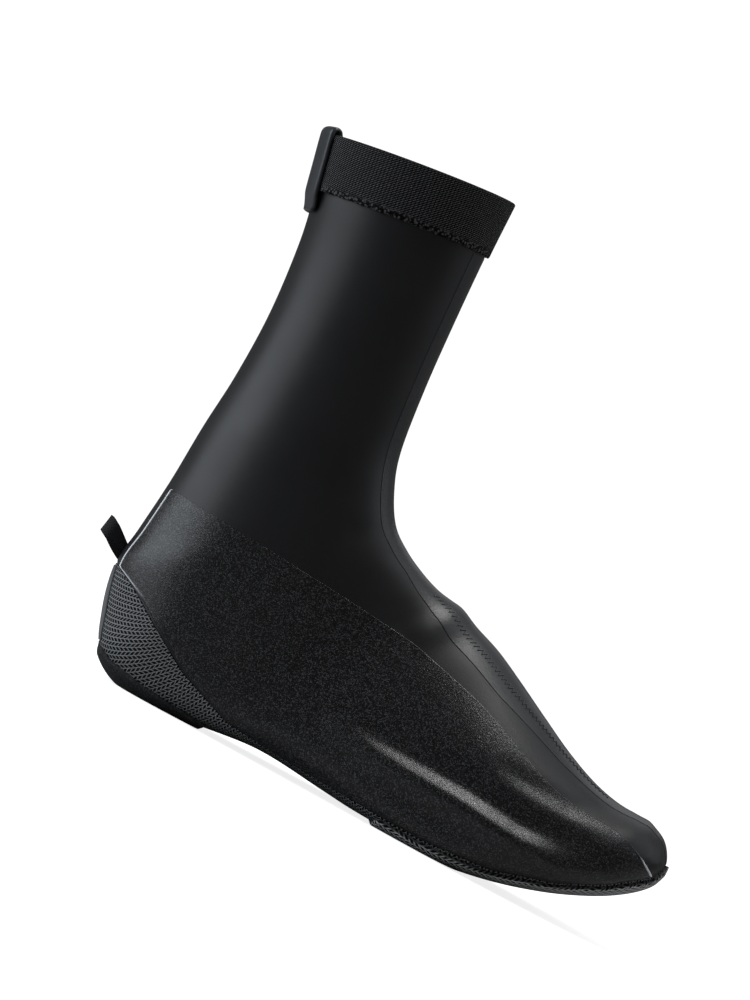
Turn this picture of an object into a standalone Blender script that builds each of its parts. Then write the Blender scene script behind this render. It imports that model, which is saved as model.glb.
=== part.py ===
"""A cycling overshoe for the right foot, standing empty on its sole.

Metres, +Z up, +X towards the toe, +Y towards the inside of the foot. The origin lies on the floor under the
middle of the heel. Every soft piece is a patch of one surface, the last: a row of sections from the rim of the
cuff, round the heel, to the tip of the toe.
"""

import math
from collections import namedtuple
from functools import lru_cache

import bmesh
import bpy
import numpy as np

MM = 0.001

# Driving sizes of the last.
LENGTH = 285 * MM
BALL_WIDTH = 102 * MM
RIM_HEIGHT = 270 * MM
HEEL_CENTRE = 42 * MM  # from the back of the heel to the origin

# Walls and gaps.
GAP = 0.3 * MM
SEAM_GAP = 0.45 * MM
WELD = 0.02 * MM
UPPER_WALL = 1.4 * MM
SOLE_WALL = 1.4 * MM
PATCH_WALL = 1.5 * MM
FILM_LIFT = 0.4 * MM
FILM_WALL = 0.5 * MM
TAPE_HALF_WIDTH = 9.5 * MM
CUFF_WALL = 1.6 * MM
TAB_WALL = 2.4 * MM
LOOP_WALL = 1.3 * MM
SOLE_LIFT = GAP + PATCH_WALL  # the sole's own underside stands this far off the floor

# Sections of the last. Front and back are the ends of a section in the side view: x is a share of the length from
# the back of the heel, z a share of the rim's mean height. Half is half the width, swing the section's shift
# towards the inside of the foot and lean that of its ridge alone, all as shares of the ball's width. Widest is
# where the section is widest, as a share of its depth from the front. Crown and base are how square its front
# and back halves are: 2 is an ellipse.
Section = namedtuple("Section", "front_x front_z back_x back_z half swing lean widest crown base")
SECTIONS = [
    Section(0.279, 1.018, -0.025, 0.974, 0.392, 0.000, 0.000, 0.50, 2.0, 2.0),  # rim of the cuff
    Section(0.282, 0.918, -0.004, 0.880, 0.387, 0.000, 0.000, 0.50, 2.0, 2.0),  # foot of the cuff
    Section(0.289, 0.793, 0.013, 0.793, 0.373, 0.000, 0.000, 0.50, 2.0, 2.0),
    Section(0.298, 0.674, 0.025, 0.667, 0.358, 0.000, 0.000, 0.50, 2.0, 2.0),
    Section(0.312, 0.563, 0.025, 0.548, 0.350, 0.000, 0.000, 0.50, 2.0, 2.0),  # narrowest above the ankle
    Section(0.333, 0.500, 0.018, 0.444, 0.355, 0.000, 0.000, 0.51, 2.0, 2.0),
    Section(0.361, 0.452, 0.014, 0.341, 0.361, 0.000, 0.000, 0.53, 2.0, 2.0),
    Section(0.396, 0.424, 0.006, 0.244, 0.366, 0.000, 0.005, 0.56, 2.0, 2.0),
    Section(0.432, 0.405, 0.000, 0.178, 0.369, 0.000, 0.010, 0.59, 2.0, 2.1),  # back of the heel
    Section(0.463, 0.393, 0.020, 0.096, 0.371, 0.000, 0.015, 0.62, 2.0, 2.4),
    Section(0.491, 0.386, 0.047, 0.033, 0.371, 0.000, 0.020, 0.66, 2.0, 2.9),  # heel corner
    Section(0.519, 0.379, 0.112, 0.001, 0.369, 0.000, 0.025, 0.70, 2.0, 3.4),
    Section(0.554, 0.367, 0.218, 0.003, 0.375, -0.005, 0.030, 0.73, 2.0, 3.4),  # front of the heel
    Section(0.600, 0.350, 0.337, 0.017, 0.397, -0.015, 0.040, 0.76, 2.0, 3.3),  # arch
    Section(0.653, 0.323, 0.456, 0.009, 0.436, -0.025, 0.050, 0.77, 2.0, 3.4),
    Section(0.712, 0.291, 0.561, 0.001, 0.475, -0.025, 0.060, 0.78, 2.1, 4.0),  # ball
    Section(0.775, 0.258, 0.660, 0.001, 0.498, -0.015, 0.065, 0.78, 2.2, 4.0),
    Section(0.839, 0.232, 0.751, 0.016, 0.490, 0.005, 0.060, 0.77, 2.3, 3.6),
    Section(0.895, 0.222, 0.832, 0.040, 0.451, 0.030, 0.050, 0.74, 2.4, 3.2),
    Section(0.938, 0.221, 0.898, 0.068, 0.387, 0.050, 0.035, 0.70, 2.4, 2.8),  # top of the toe box
    Section(0.970, 0.206, 0.946, 0.096, 0.299, 0.065, 0.020, 0.64, 2.3, 2.5),
    Section(0.989, 0.180, 0.980, 0.126, 0.176, 0.075, 0.010, 0.57, 2.1, 2.2),
    Section(0.994, 0.154, 0.994, 0.154, 0.000, 0.080, 0.000, 0.50, 2.0, 2.0),  # tip of the toe
]
RIM, CUFF_FOOT, HEEL_BACK, TOE_TIP = 0, 1, 8, len(SECTIONS) - 1
COLLAR = 0.7  # the upper ends inside the cuff, this many sections from the rim

# Seam lines, as the side view shows them: x and z in shares of the length and of the rim's height.
SeamPoint = namedtuple("SeamPoint", "x z")
SOLE_SEAM = [  # from the back of the heel down to the arch, then along the sole and up round the toe
    SeamPoint(0.000, 0.178),
    SeamPoint(0.056, 0.150),
    SeamPoint(0.098, 0.122),
    SeamPoint(0.175, 0.074),
    SeamPoint(0.274, 0.035),
    SeamPoint(0.370, 0.026),
    SeamPoint(0.490, 0.022),
    SeamPoint(0.625, 0.020),
    SeamPoint(0.744, 0.030),
    SeamPoint(0.842, 0.061),
    SeamPoint(0.920, 0.100),
    SeamPoint(0.979, 0.143),
    SeamPoint(0.998, 0.181),
]
FILM_TOP = [  # level from the heel to the instep, down to the toe box, then down beside the toe
    SeamPoint(0.000, 0.330),
    SeamPoint(0.140, 0.323),
    SeamPoint(0.316, 0.311),
    SeamPoint(0.474, 0.297),
    SeamPoint(0.621, 0.260),
    SeamPoint(0.758, 0.200),
    SeamPoint(0.842, 0.187),
    SeamPoint(0.905, 0.185),
    SeamPoint(0.955, 0.163),
    SeamPoint(0.985, 0.140),
]
HEEL_PATCH_TOP = [
    SeamPoint(0.030, 0.052),
    SeamPoint(0.067, 0.034),
    SeamPoint(0.133, 0.023),
    SeamPoint(0.200, 0.018),
    SeamPoint(0.250, 0.015),
]
BACK_STRIP_HALF = 13 * MM  # the films stop this far from the middle of the back
SEAM_MARGIN = 1.2 * MM  # from the edge of a bonded piece to the seam beside it
HEEL_PATCH_FRONT = 12.2  # in sections from the rim
FOREFOOT_PATCH_BACK = 14.8
SOLE_TIP = 0.03  # the sole's blunt tip at the heel lies this many sections below the seam's own

# The front tape's own middle, off the last's ridge towards the outer side, at places in sections from the rim.
TapeRow = namedtuple("TapeRow", "t shift")
TAPE_ROWS = [
    TapeRow(1, 11 * MM),
    TapeRow(5, 10 * MM),
    TapeRow(8, 8 * MM),
    TapeRow(10, 11 * MM),
    TapeRow(12, 15.5 * MM),
    TapeRow(14, 17.5 * MM),
    TapeRow(16, 16 * MM),
    TapeRow(18, 11 * MM),
    TapeRow(20, 5 * MM),
    TapeRow(22, 0),
]

# The opening for the cleat under the ball.
CLEAT_X = 187 * MM - HEEL_CENTRE
CLEAT_LENGTH = 48 * MM
CLEAT_WIDTH = 38 * MM
CLEAT_CORNER = 8 * MM
CLEAT_HEM = 2.5 * MM  # how much more the patch is cut away than the sole inside it

# The closure tab, from its free end outside the cuff, over the rim, to its end inside: each row has its place in
# sections from the rim, its lift off the last and its half width.
TabRow = namedtuple("TabRow", "t lift half")
TAB_OUTSIDE = CUFF_WALL + 2.5 * GAP
TAB_INSIDE = -GAP
TAB_HANG = 4 * GAP
TAB_COLUMNS = 8
TAB_ROWS = [
    TabRow(1.43, TAB_HANG, 12.0 * MM),
    TabRow(1.40, TAB_HANG, 15.5 * MM),
    TabRow(1.33, TAB_HANG, 17.3 * MM),
    TabRow(1.18, TAB_HANG + 2 * GAP, 17.8 * MM),
    TabRow(1.04, TAB_OUTSIDE, 18.0 * MM),
    TabRow(0.50, TAB_OUTSIDE, 18.3 * MM),
    TabRow(0.00, TAB_OUTSIDE, 18.3 * MM),
    TabRow(-0.03, TAB_OUTSIDE * 0.8, 18.1 * MM),
    TabRow(-0.04, TAB_OUTSIDE * 0.5, 17.8 * MM),
    TabRow(-0.03, TAB_OUTSIDE * 0.1, 17.5 * MM),
    TabRow(0.00, TAB_INSIDE, 17.2 * MM),
    TabRow(0.50, TAB_INSIDE, 16.5 * MM),
]

# The pull loop, round its hollow: how far out from the heel, and how far across the seam.
LOOP_TOP, LOOP_FOOT = 7.46, 7.94  # in sections from the rim
LOOP_REACH = 9.0 * MM
LOOP_ROOT = 0.8 * MM
LOOP_RADIUS = 3.4 * MM
LOOP_RISE = 0.03 / MM  # the loop leans up, by this many sections for each millimetre out
LOOP_TURNS = 8

# The reflector, from under the loop to above the heel patch.
REFLECTOR_TOP, REFLECTOR_FOOT = 8.08, 9.60
REFLECTOR_LIFT = 1.5 * GAP
REFLECTOR_HALF_TOP = 8 * MM
REFLECTOR_HALF_FOOT = 13 * MM

# Facets: columns across the upper and across the sole, and rows from one section of the table to the next.
UPPER_COLUMNS = 26
SOLE_COLUMNS = 14
TOE_BOX = TOE_TIP - 4
RowSpan = namedtuple("RowSpan", "first end rows")
ROW_SPANS = [
    RowSpan(RIM, CUFF_FOOT, 2),
    RowSpan(CUFF_FOOT, 5, 1),
    RowSpan(5, 12, 2),
    RowSpan(12, 14, 2),
    RowSpan(14, 16, 1),
    RowSpan(16, TOE_BOX, 2),
    RowSpan(TOE_BOX, TOE_TIP, 3),
]


def clear_scene():
    for obj in list(bpy.data.objects):
        bpy.data.objects.remove(obj)


def material(name, colour, roughness):
    made = bpy.data.materials.new(name)
    made.use_nodes = True
    shader = made.node_tree.nodes["Principled BSDF"]
    shader.inputs["Base Color"].default_value = (*colour, 1.0)
    shader.inputs["Roughness"].default_value = roughness
    shader.inputs["Metallic"].default_value = 0.0
    return made


# The last.


def section(t):
    """The section t rows from the rim, on a smooth curve through the table, in metres."""
    table = np.array(SECTIONS)
    table = np.vstack([2 * table[0] - table[1], table, 2 * table[-1] - table[-2]])
    row = min(max(int(t), 0), TOE_TIP - 1)
    u = t - row
    before, here, after, beyond = table[row : row + 4]
    bend = 2 * before - 5 * here + 4 * after - beyond
    twist = 3 * here - 3 * after + beyond - before
    found = Section(*(here + 0.5 * u * (after - before + u * (bend + u * twist))))
    return found._replace(
        front_x=found.front_x * LENGTH - HEEL_CENTRE,
        back_x=found.back_x * LENGTH - HEEL_CENTRE,
        front_z=found.front_z * RIM_HEIGHT,
        back_z=found.back_z * RIM_HEIGHT,
        half=max(found.half, 0) * BALL_WIDTH,
        swing=found.swing * BALL_WIDTH,
        lean=found.lean * BALL_WIDTH,
    )


@lru_cache(maxsize=None)
def half_ring(t):
    """Half of a section, from its front to its back: depth as a share, half width, and length along it."""
    s = section(t)
    turn = np.linspace(0, math.pi, 65)
    front = turn <= math.pi / 2
    power = 2 / np.where(front, s.crown, s.base)
    width = s.half * np.sin(turn).clip(0, 1) ** power
    reach = np.abs(np.cos(turn)) ** power
    depth = np.where(front, s.widest * (1 - reach), s.widest + (1 - s.widest) * reach)
    tall = math.hypot(s.back_x - s.front_x, s.back_z - s.front_z)
    steps = np.hypot(np.diff(width), np.diff(depth) * tall)
    return s, depth, width, np.concatenate([[0], np.cumsum(steps)])


def half_girth(t):
    return max(half_ring(t)[3][-1], MM)


def place(t, q):
    """A point of the last. q runs from -1 at the back, by the outer side, over 0 at the front, to 1 at the back."""
    s, depth, width, along = half_ring(t)
    q = (q + 1) % 2 - 1
    f = np.interp(abs(q) * along[-1], along, depth)
    w = np.interp(abs(q) * along[-1], along, width)
    x = s.front_x + (s.back_x - s.front_x) * f
    z = s.front_z + (s.back_z - s.front_z) * f
    y = s.swing + s.lean * (1 - f) ** 2 + math.copysign(w, q)
    return np.array([x, y, max(z, SOLE_LIFT)])


def skin(t, q, lift):
    """A point at a distance outside the last, along its normal."""
    near = 0.02
    here = min(t, TOE_TIP - 2 * near)
    along = place(here + near, q) - place(here - near, q)
    across = place(here, q + near) - place(here, q - near)
    normal = np.cross(along, across)
    if t == TOE_TIP:
        normal = place(t, 0) - place(TOE_BOX, 0.5)
    return place(t, q) + normal * (lift / np.linalg.norm(normal))


def share_on(t, line):
    """How far down half a section a seam line crosses it, as a share of the half girth: 1 where it stays above."""
    s, depth, _, along = half_ring(t)
    x = (s.front_x + (s.back_x - s.front_x) * depth + HEEL_CENTRE) / LENGTH
    z = (s.front_z + (s.back_z - s.front_z) * depth) / RIM_HEIGHT
    above = z - np.interp(x, [p.x for p in line], [p.z for p in line])
    if above[0] <= 0:
        return 0.0
    if above[-1] >= 0:
        return 1.0
    i = int(np.argmax(above < 0))
    part = above[i - 1] / (above[i - 1] - above[i])
    return (along[i - 1] + part * (along[i] - along[i - 1])) / along[-1]


def sole_share(t, shift):
    """The sole seam's share at a section, moved a length towards the back or, below 0, towards the front. Above the
    back of the heel there is no seam, and the upper closes round the leg."""
    if t <= HEEL_BACK:
        return 1.0
    return min(max(share_on(t, SOLE_SEAM) + shift / half_girth(t), 0.0), 1.0)


def crossing(test, start, stop):
    """The place between two sections where a test that holds at the first stops holding."""
    for _ in range(40):
        middle = (start + stop) / 2
        start, stop = (middle, stop) if test(middle) else (start, middle)
    return start


UPPER_TOE = crossing(lambda t: sole_share(t, -SEAM_GAP / 2) > 0, TOE_BOX, TOE_TIP)
SOLE_HEEL = crossing(lambda t: sole_share(t, SEAM_GAP / 2) >= 1, HEEL_BACK, HEEL_BACK + 1) + SOLE_TIP


def rows_between(start, stop, extra=()):
    """The rows from one section to another, on stations that all pieces share, so that their facets lie together."""
    shared = [SOLE_HEEL, UPPER_TOE - 0.1, UPPER_TOE - 0.03, UPPER_TOE, *extra]
    for span in ROW_SPANS:
        shared += [span.first + i / span.rows for i in range((span.end - span.first) * span.rows)]
    inside = [t for t in sorted(shared) if start + 0.01 < t < stop - 0.01]
    return [start, *inside, stop]


def upper_columns(t):
    edge = sole_share(t, -SEAM_GAP / 2)
    return np.linspace(-edge, edge, UPPER_COLUMNS + 1)


def sole_columns(t):
    edge = sole_share(t, SEAM_GAP / 2)
    return np.linspace(edge, 2 - edge, SOLE_COLUMNS + 1)


# Making solids.


def grid_points(mesh, rows, columns):
    """Fills an empty mesh with a grid, and gives each of its points with its row and column."""
    bmesh.ops.create_grid(mesh, x_segments=rows - 1, y_segments=columns - 1, size=1)
    return [(vert, index % rows, index // rows) for index, vert in enumerate(mesh.verts)]


def add_part(name, parts, mesh, finish):
    data = bpy.data.meshes.new(name)
    mesh.to_mesh(data)
    mesh.free()
    data.shade_smooth()
    obj = bpy.data.objects.new(name, data)
    obj.data.materials.append(finish)
    parts.objects.link(obj)
    return obj


def patch(name, parts, rows, columns, limits, lift, wall, finish):
    """A shell on the last, from one lift to another. Its columns are those of the piece below it, drawn in to its
    own limits, and both its faces lie along the last's own normals, so that neighbours keep their gap."""
    shares = [np.clip(columns(t), *limits(t)) for t in rows]
    mesh = bmesh.new()
    t_layer = mesh.verts.layers.float.new("t")
    q_layer = mesh.verts.layers.float.new("q")
    for vert, row, column in grid_points(mesh, len(rows), len(shares[0])):
        vert[t_layer] = rows[row]
        vert[q_layer] = shares[row][column]
        vert.co = skin(rows[row], shares[row][column], lift)
    bmesh.ops.remove_doubles(mesh, verts=mesh.verts, dist=WELD)
    made = bmesh.ops.extrude_face_region(mesh, geom=mesh.faces[:], use_keep_orig=True)
    for vert in made["geom"]:
        if isinstance(vert, bmesh.types.BMVert):
            vert.co = skin(vert[t_layer], vert[q_layer], lift + wall)
    bmesh.ops.recalc_face_normals(mesh, faces=mesh.faces)
    return add_part(name, parts, mesh, finish)


def folded_band(name, parts, grid, wall, finish):
    """A band through rows of points, its wall on their outer side, or on their inner side if it is below 0."""
    mesh = bmesh.new()
    for vert, row, column in grid_points(mesh, len(grid), len(grid[0])):
        vert.co = grid[row][column]
    band = add_part(name, parts, mesh, finish)
    thicken = band.modifiers.new("wall", "SOLIDIFY")
    thicken.thickness = abs(wall)
    thicken.offset = math.copysign(1, wall)


def cut(obj, cutter):
    hole = obj.modifiers.new("opening", "BOOLEAN")
    hole.operation = "DIFFERENCE"
    hole.object = cutter


# The pieces.


def make_upper(parts, finish):
    """One hollow sock, closed round the leg, open underneath from the heel seam to the tip of the toe."""
    rows = rows_between(COLLAR, UPPER_TOE)
    patch("upper", parts, rows, upper_columns, lambda t: (-1, 1), 0, -UPPER_WALL, finish)


def make_sole(parts, finish, cutter):
    """The underside: a boat with a point at the back of the heel, closed at the tip of the toe."""
    rows = rows_between(SOLE_HEEL, TOE_TIP)
    sole = patch("sole", parts, rows, sole_columns, lambda t: (0, 2), 0, -SOLE_WALL, finish)
    cut(sole, cutter)


def make_heel_patch(parts, finish):
    """A cup under and round the heel, flat where it stands."""
    back = crossing(lambda t: share_on(t, HEEL_PATCH_TOP) >= 1, HEEL_BACK + 1, HEEL_BACK + 3)

    def limits(t):
        edge = share_on(t, HEEL_PATCH_TOP)
        return edge, 2 - edge

    round_top = [back + widening for widening in (0.02, 0.06, 0.14)]
    rows = rows_between(back, HEEL_PATCH_FRONT, round_top)
    patch("heel_patch", parts, rows, sole_columns, limits, GAP, PATCH_WALL, finish)


def make_forefoot_patch(parts, finish, cutter):
    """The second layer under the ball and round the toe, flat where it stands."""

    def limits(t):
        edge = sole_share(t, SEAM_MARGIN)
        return edge, 2 - edge

    rows = rows_between(FOREFOOT_PATCH_BACK, TOE_TIP)
    layer = patch("forefoot_patch", parts, rows, sole_columns, limits, GAP, PATCH_WALL, finish)
    cut(layer, cutter)


def film_limits(t):
    back = 1 - BACK_STRIP_HALF / half_girth(t)
    return share_on(t, FILM_TOP), min(sole_share(t, -SEAM_MARGIN), back)


def film_fits(t):
    top, foot = film_limits(t)
    return top < foot


def make_side_film(parts, finish, name, side):
    """A skin on the lower side, from beside the back seam to the toe."""
    start = crossing(lambda t: not film_fits(t), HEEL_BACK - 3, HEEL_BACK)
    stop = crossing(film_fits, TOE_BOX, TOE_TIP)

    def limits(t):
        top, foot = film_limits(t)
        return (top, foot) if side > 0 else (-foot, -top)

    corners = [start + widening for widening in (0.03, 0.1, 0.2, 0.3, 0.45, 0.75)]
    corners += [stop - widening for widening in (0.03, 0.1, 0.2)]
    rows = rows_between(start, stop, corners)
    patch(name, parts, rows, upper_columns, limits, FILM_LIFT, FILM_WALL, finish)


def make_front_tape(parts, finish):
    """A strip over the front seam, from under the cuff to the tip of the toe."""

    def limits(t):
        edge = sole_share(t, -SEAM_MARGIN)
        shift = np.interp(t, [row.t for row in TAPE_ROWS], [row.shift for row in TAPE_ROWS])
        sides = np.array([-shift - TAPE_HALF_WIDTH, -shift + TAPE_HALF_WIDTH]) / half_girth(t)
        return np.clip(sides, -edge, edge)

    rows = rows_between(CUFF_FOOT + 0.04, UPPER_TOE - 0.2)
    patch("front_tape", parts, rows, upper_columns, limits, FILM_LIFT, FILM_WALL, finish)


def make_heel_reflector(parts, finish):
    """A tapered strip up the back of the heel."""

    def columns(t):
        down = (t - REFLECTOR_TOP) / (REFLECTOR_FOOT - REFLECTOR_TOP)
        half = REFLECTOR_HALF_TOP + (REFLECTOR_HALF_FOOT - REFLECTOR_HALF_TOP) * down
        return 1 + np.linspace(-half, half, 5) / half_girth(t)

    rows = rows_between(REFLECTOR_TOP, REFLECTOR_FOOT)
    patch("heel_reflector", parts, rows, columns, lambda t: (0, 2), REFLECTOR_LIFT, FILM_WALL, finish)


def make_cuff(parts, finish):
    """A band round the top, over the end of the upper."""
    rows = rows_between(RIM, CUFF_FOOT)
    patch("cuff", parts, rows, upper_columns, lambda t: (-1, 1), GAP, CUFF_WALL, finish)


def make_closure_tab(parts, finish):
    """A tab that folds over the rim at the back, with a gap round the cuff."""
    grid = []
    for row in TAB_ROWS:
        half = row.half / half_girth(row.t)
        grid.append([skin(row.t, q, row.lift) for q in np.linspace(1 - half, 1 + half, TAB_COLUMNS + 1)])
    folded_band("closure_tab", parts, grid, -TAB_WALL, finish)


def make_pull_loop(parts, finish):
    """A band of webbing folded on itself, both ends against the heel seam."""
    leg = [(GAP, LOOP_ROOT), (LOOP_REACH * 0.5, LOOP_RADIUS * 0.7), (LOOP_REACH, LOOP_RADIUS)]
    turns = [math.pi * i / LOOP_TURNS for i in range(1, LOOP_TURNS)]
    fold = [(LOOP_REACH + LOOP_RADIUS * math.sin(a), LOOP_RADIUS * math.cos(a)) for a in turns]
    path = leg + fold + [(out, -across) for out, across in reversed(leg)]
    heights = [LOOP_TOP + (LOOP_FOOT - LOOP_TOP) * i / 3 for i in range(4)]
    grid = []
    for out, across in path:
        risen = [t - LOOP_RISE * out for t in heights]
        grid.append([skin(t, 1 + across / half_girth(t), out) for t in risen])
    folded_band("pull_loop", parts, grid, LOOP_WALL, finish)


def make_cleat_cutter(cutters, name, extra):
    """A rounded block through the sole where the cleat comes out."""
    bpy.ops.mesh.primitive_cube_add(size=1, location=(CLEAT_X, 0, 0))
    block = bpy.context.object
    block.name = name
    block.scale = (CLEAT_LENGTH + 2 * extra, CLEAT_WIDTH + 2 * extra, 30 * MM)
    bpy.ops.object.transform_apply(location=False, rotation=False, scale=True)
    mesh = bmesh.new()
    mesh.from_mesh(block.data)
    uprights = [e for e in mesh.edges if abs(e.verts[0].co.z - e.verts[1].co.z) > MM]
    bmesh.ops.bevel(mesh, geom=uprights, offset=CLEAT_CORNER + extra, segments=4, profile=0.5, affect="EDGES")
    mesh.to_mesh(block.data)
    mesh.free()
    for holder in list(block.users_collection):
        holder.objects.unlink(block)
    cutters.objects.link(block)
    block.hide_render = True
    block.display_type = "WIRE"
    return block


def main():
    clear_scene()
    parts = bpy.data.collections.new("cycling_overshoe")
    cutters = bpy.data.collections.new("cutters")
    bpy.context.scene.collection.children.link(parts)
    bpy.context.scene.collection.children.link(cutters)

    laminate = material("coated_laminate", (0.020, 0.021, 0.023), 0.42)
    grip_mesh = material("grip_mesh", (0.075, 0.077, 0.080), 0.75)
    rubber = material("heel_rubber", (0.012, 0.012, 0.012), 0.85)
    film = material("side_film", (0.010, 0.010, 0.011), 0.30)
    tape = material("seam_tape", (0.024, 0.026, 0.029), 0.40)
    reflective = material("reflective_strip", (0.30, 0.34, 0.39), 0.45)
    elastic = material("elastic_webbing", (0.009, 0.009, 0.010), 0.80)
    moulded = material("moulded_tab", (0.030, 0.033, 0.038), 0.40)
    webbing = material("loop_webbing", (0.010, 0.010, 0.011), 0.75)

    make_upper(parts, laminate)
    make_sole(parts, grip_mesh, make_cleat_cutter(cutters, "cleat_cutter", 0))
    make_heel_patch(parts, rubber)
    make_forefoot_patch(parts, grip_mesh.copy(), make_cleat_cutter(cutters, "cleat_hem_cutter", CLEAT_HEM))
    make_side_film(parts, film, "side_film_outer", -1)
    make_side_film(parts, film.copy(), "side_film_inner", 1)
    make_front_tape(parts, tape)
    make_heel_reflector(parts, reflective)
    make_cuff(parts, elastic)
    make_closure_tab(parts, moulded)
    make_pull_loop(parts, webbing)


main()
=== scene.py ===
import math
from collections import namedtuple
from functools import lru_cache

import bpy
import numpy as np
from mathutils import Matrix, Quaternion, Vector


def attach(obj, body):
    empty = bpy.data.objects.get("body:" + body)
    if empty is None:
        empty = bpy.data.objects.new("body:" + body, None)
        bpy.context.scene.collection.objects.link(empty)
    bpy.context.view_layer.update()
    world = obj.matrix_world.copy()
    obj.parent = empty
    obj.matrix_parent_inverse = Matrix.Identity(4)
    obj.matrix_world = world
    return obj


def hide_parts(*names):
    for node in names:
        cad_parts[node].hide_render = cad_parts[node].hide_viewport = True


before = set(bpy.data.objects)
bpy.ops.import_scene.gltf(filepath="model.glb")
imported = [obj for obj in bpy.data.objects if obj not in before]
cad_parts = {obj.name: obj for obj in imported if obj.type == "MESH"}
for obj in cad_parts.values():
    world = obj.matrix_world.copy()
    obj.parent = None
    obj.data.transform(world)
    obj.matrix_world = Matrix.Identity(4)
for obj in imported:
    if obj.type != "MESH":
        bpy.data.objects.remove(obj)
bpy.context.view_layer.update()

# The upper: a tall stretch sock over the leg and the shoe, of knitted cloth with a satin coating outside.
# It is cut on one last, joined down the front, closed round the leg, and sewn to the sole at its lower edge.
MM = 0.001
LENGTH = 285 * MM
BALL_WIDTH = 102 * MM
RIM_HEIGHT = 270 * MM
HEEL_CENTRE = 42 * MM
GAP = 0.3 * MM
SEAM_GAP = 0.45 * MM
WELD = 0.02 * MM
UPPER_WALL = 1.4 * MM
PATCH_WALL = 1.5 * MM
SOLE_LIFT = GAP + PATCH_WALL
CRISP_ANGLE = math.radians(50)
RING_POINTS = 257
UPPER_ROWS, UPPER_COLUMNS = 210, 161

# Sections of the last: the ends of each in the side view, its half width, swing and lean, and its form.
Section = namedtuple("Section", "front_x front_z back_x back_z half swing lean widest crown base")
SECTIONS = [
    Section(0.279, 1.018, -0.025, 0.974, 0.392, 0.000, 0.000, 0.50, 2.0, 2.0),  # rim of the cuff
    Section(0.282, 0.918, -0.004, 0.880, 0.387, 0.000, 0.000, 0.50, 2.0, 2.0),  # foot of the cuff
    Section(0.289, 0.793, 0.013, 0.793, 0.373, 0.000, 0.000, 0.50, 2.0, 2.0),
    Section(0.298, 0.674, 0.025, 0.667, 0.358, 0.000, 0.000, 0.50, 2.0, 2.0),
    Section(0.312, 0.563, 0.025, 0.548, 0.350, 0.000, 0.000, 0.50, 2.0, 2.0),  # narrowest above the ankle
    Section(0.333, 0.500, 0.018, 0.444, 0.355, 0.000, 0.000, 0.51, 2.0, 2.0),
    Section(0.361, 0.452, 0.014, 0.341, 0.361, 0.000, 0.000, 0.53, 2.0, 2.0),
    Section(0.396, 0.424, 0.006, 0.244, 0.366, 0.000, 0.005, 0.56, 2.0, 2.0),
    Section(0.432, 0.405, 0.000, 0.178, 0.369, 0.000, 0.010, 0.59, 2.0, 2.1),  # back of the heel
    Section(0.463, 0.393, 0.020, 0.096, 0.371, 0.000, 0.015, 0.62, 2.0, 2.4),
    Section(0.491, 0.386, 0.047, 0.033, 0.371, 0.000, 0.020, 0.66, 2.0, 2.9),  # heel corner
    Section(0.519, 0.379, 0.112, 0.001, 0.369, 0.000, 0.025, 0.70, 2.0, 3.4),
    Section(0.554, 0.367, 0.218, 0.003, 0.375, -0.005, 0.030, 0.73, 2.0, 3.4),  # front of the heel
    Section(0.600, 0.350, 0.337, 0.017, 0.397, -0.015, 0.040, 0.76, 2.0, 3.3),  # arch
    Section(0.653, 0.323, 0.456, 0.009, 0.436, -0.025, 0.050, 0.77, 2.0, 3.4),
    Section(0.712, 0.291, 0.561, 0.001, 0.475, -0.025, 0.060, 0.78, 2.1, 4.0),  # ball
    Section(0.775, 0.258, 0.660, 0.001, 0.498, -0.015, 0.065, 0.78, 2.2, 4.0),
    Section(0.839, 0.232, 0.751, 0.016, 0.490, 0.005, 0.060, 0.77, 2.3, 3.6),
    Section(0.895, 0.222, 0.832, 0.040, 0.451, 0.030, 0.050, 0.74, 2.4, 3.2),
    Section(0.938, 0.221, 0.898, 0.068, 0.387, 0.050, 0.035, 0.70, 2.4, 2.8),  # top of the toe box
    Section(0.970, 0.206, 0.946, 0.096, 0.299, 0.065, 0.020, 0.64, 2.3, 2.5),
    Section(0.989, 0.180, 0.980, 0.126, 0.176, 0.075, 0.010, 0.57, 2.1, 2.2),
    Section(0.994, 0.154, 0.994, 0.154, 0.000, 0.080, 0.000, 0.50, 2.0, 2.0),  # tip of the toe
]
RIM, CUFF_FOOT, HEEL_BACK, TOE_TIP = 0, 1, 8, len(SECTIONS) - 1
TOE_BOX = TOE_TIP - 4
COLLAR = 0.7

# The seam between upper and sole, in the side view: x and z as shares of the length and the rim's height.
SeamPoint = namedtuple("SeamPoint", "x z")
SOLE_SEAM = [
    SeamPoint(0.000, 0.178),
    SeamPoint(0.056, 0.150),
    SeamPoint(0.098, 0.122),
    SeamPoint(0.175, 0.074),
    SeamPoint(0.274, 0.035),
    SeamPoint(0.370, 0.026),
    SeamPoint(0.490, 0.022),
    SeamPoint(0.625, 0.020),
    SeamPoint(0.744, 0.030),
    SeamPoint(0.842, 0.061),
    SeamPoint(0.920, 0.100),
    SeamPoint(0.979, 0.143),
    SeamPoint(0.998, 0.181),
]
SEAM_MARGIN = 1.2 * MM

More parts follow.
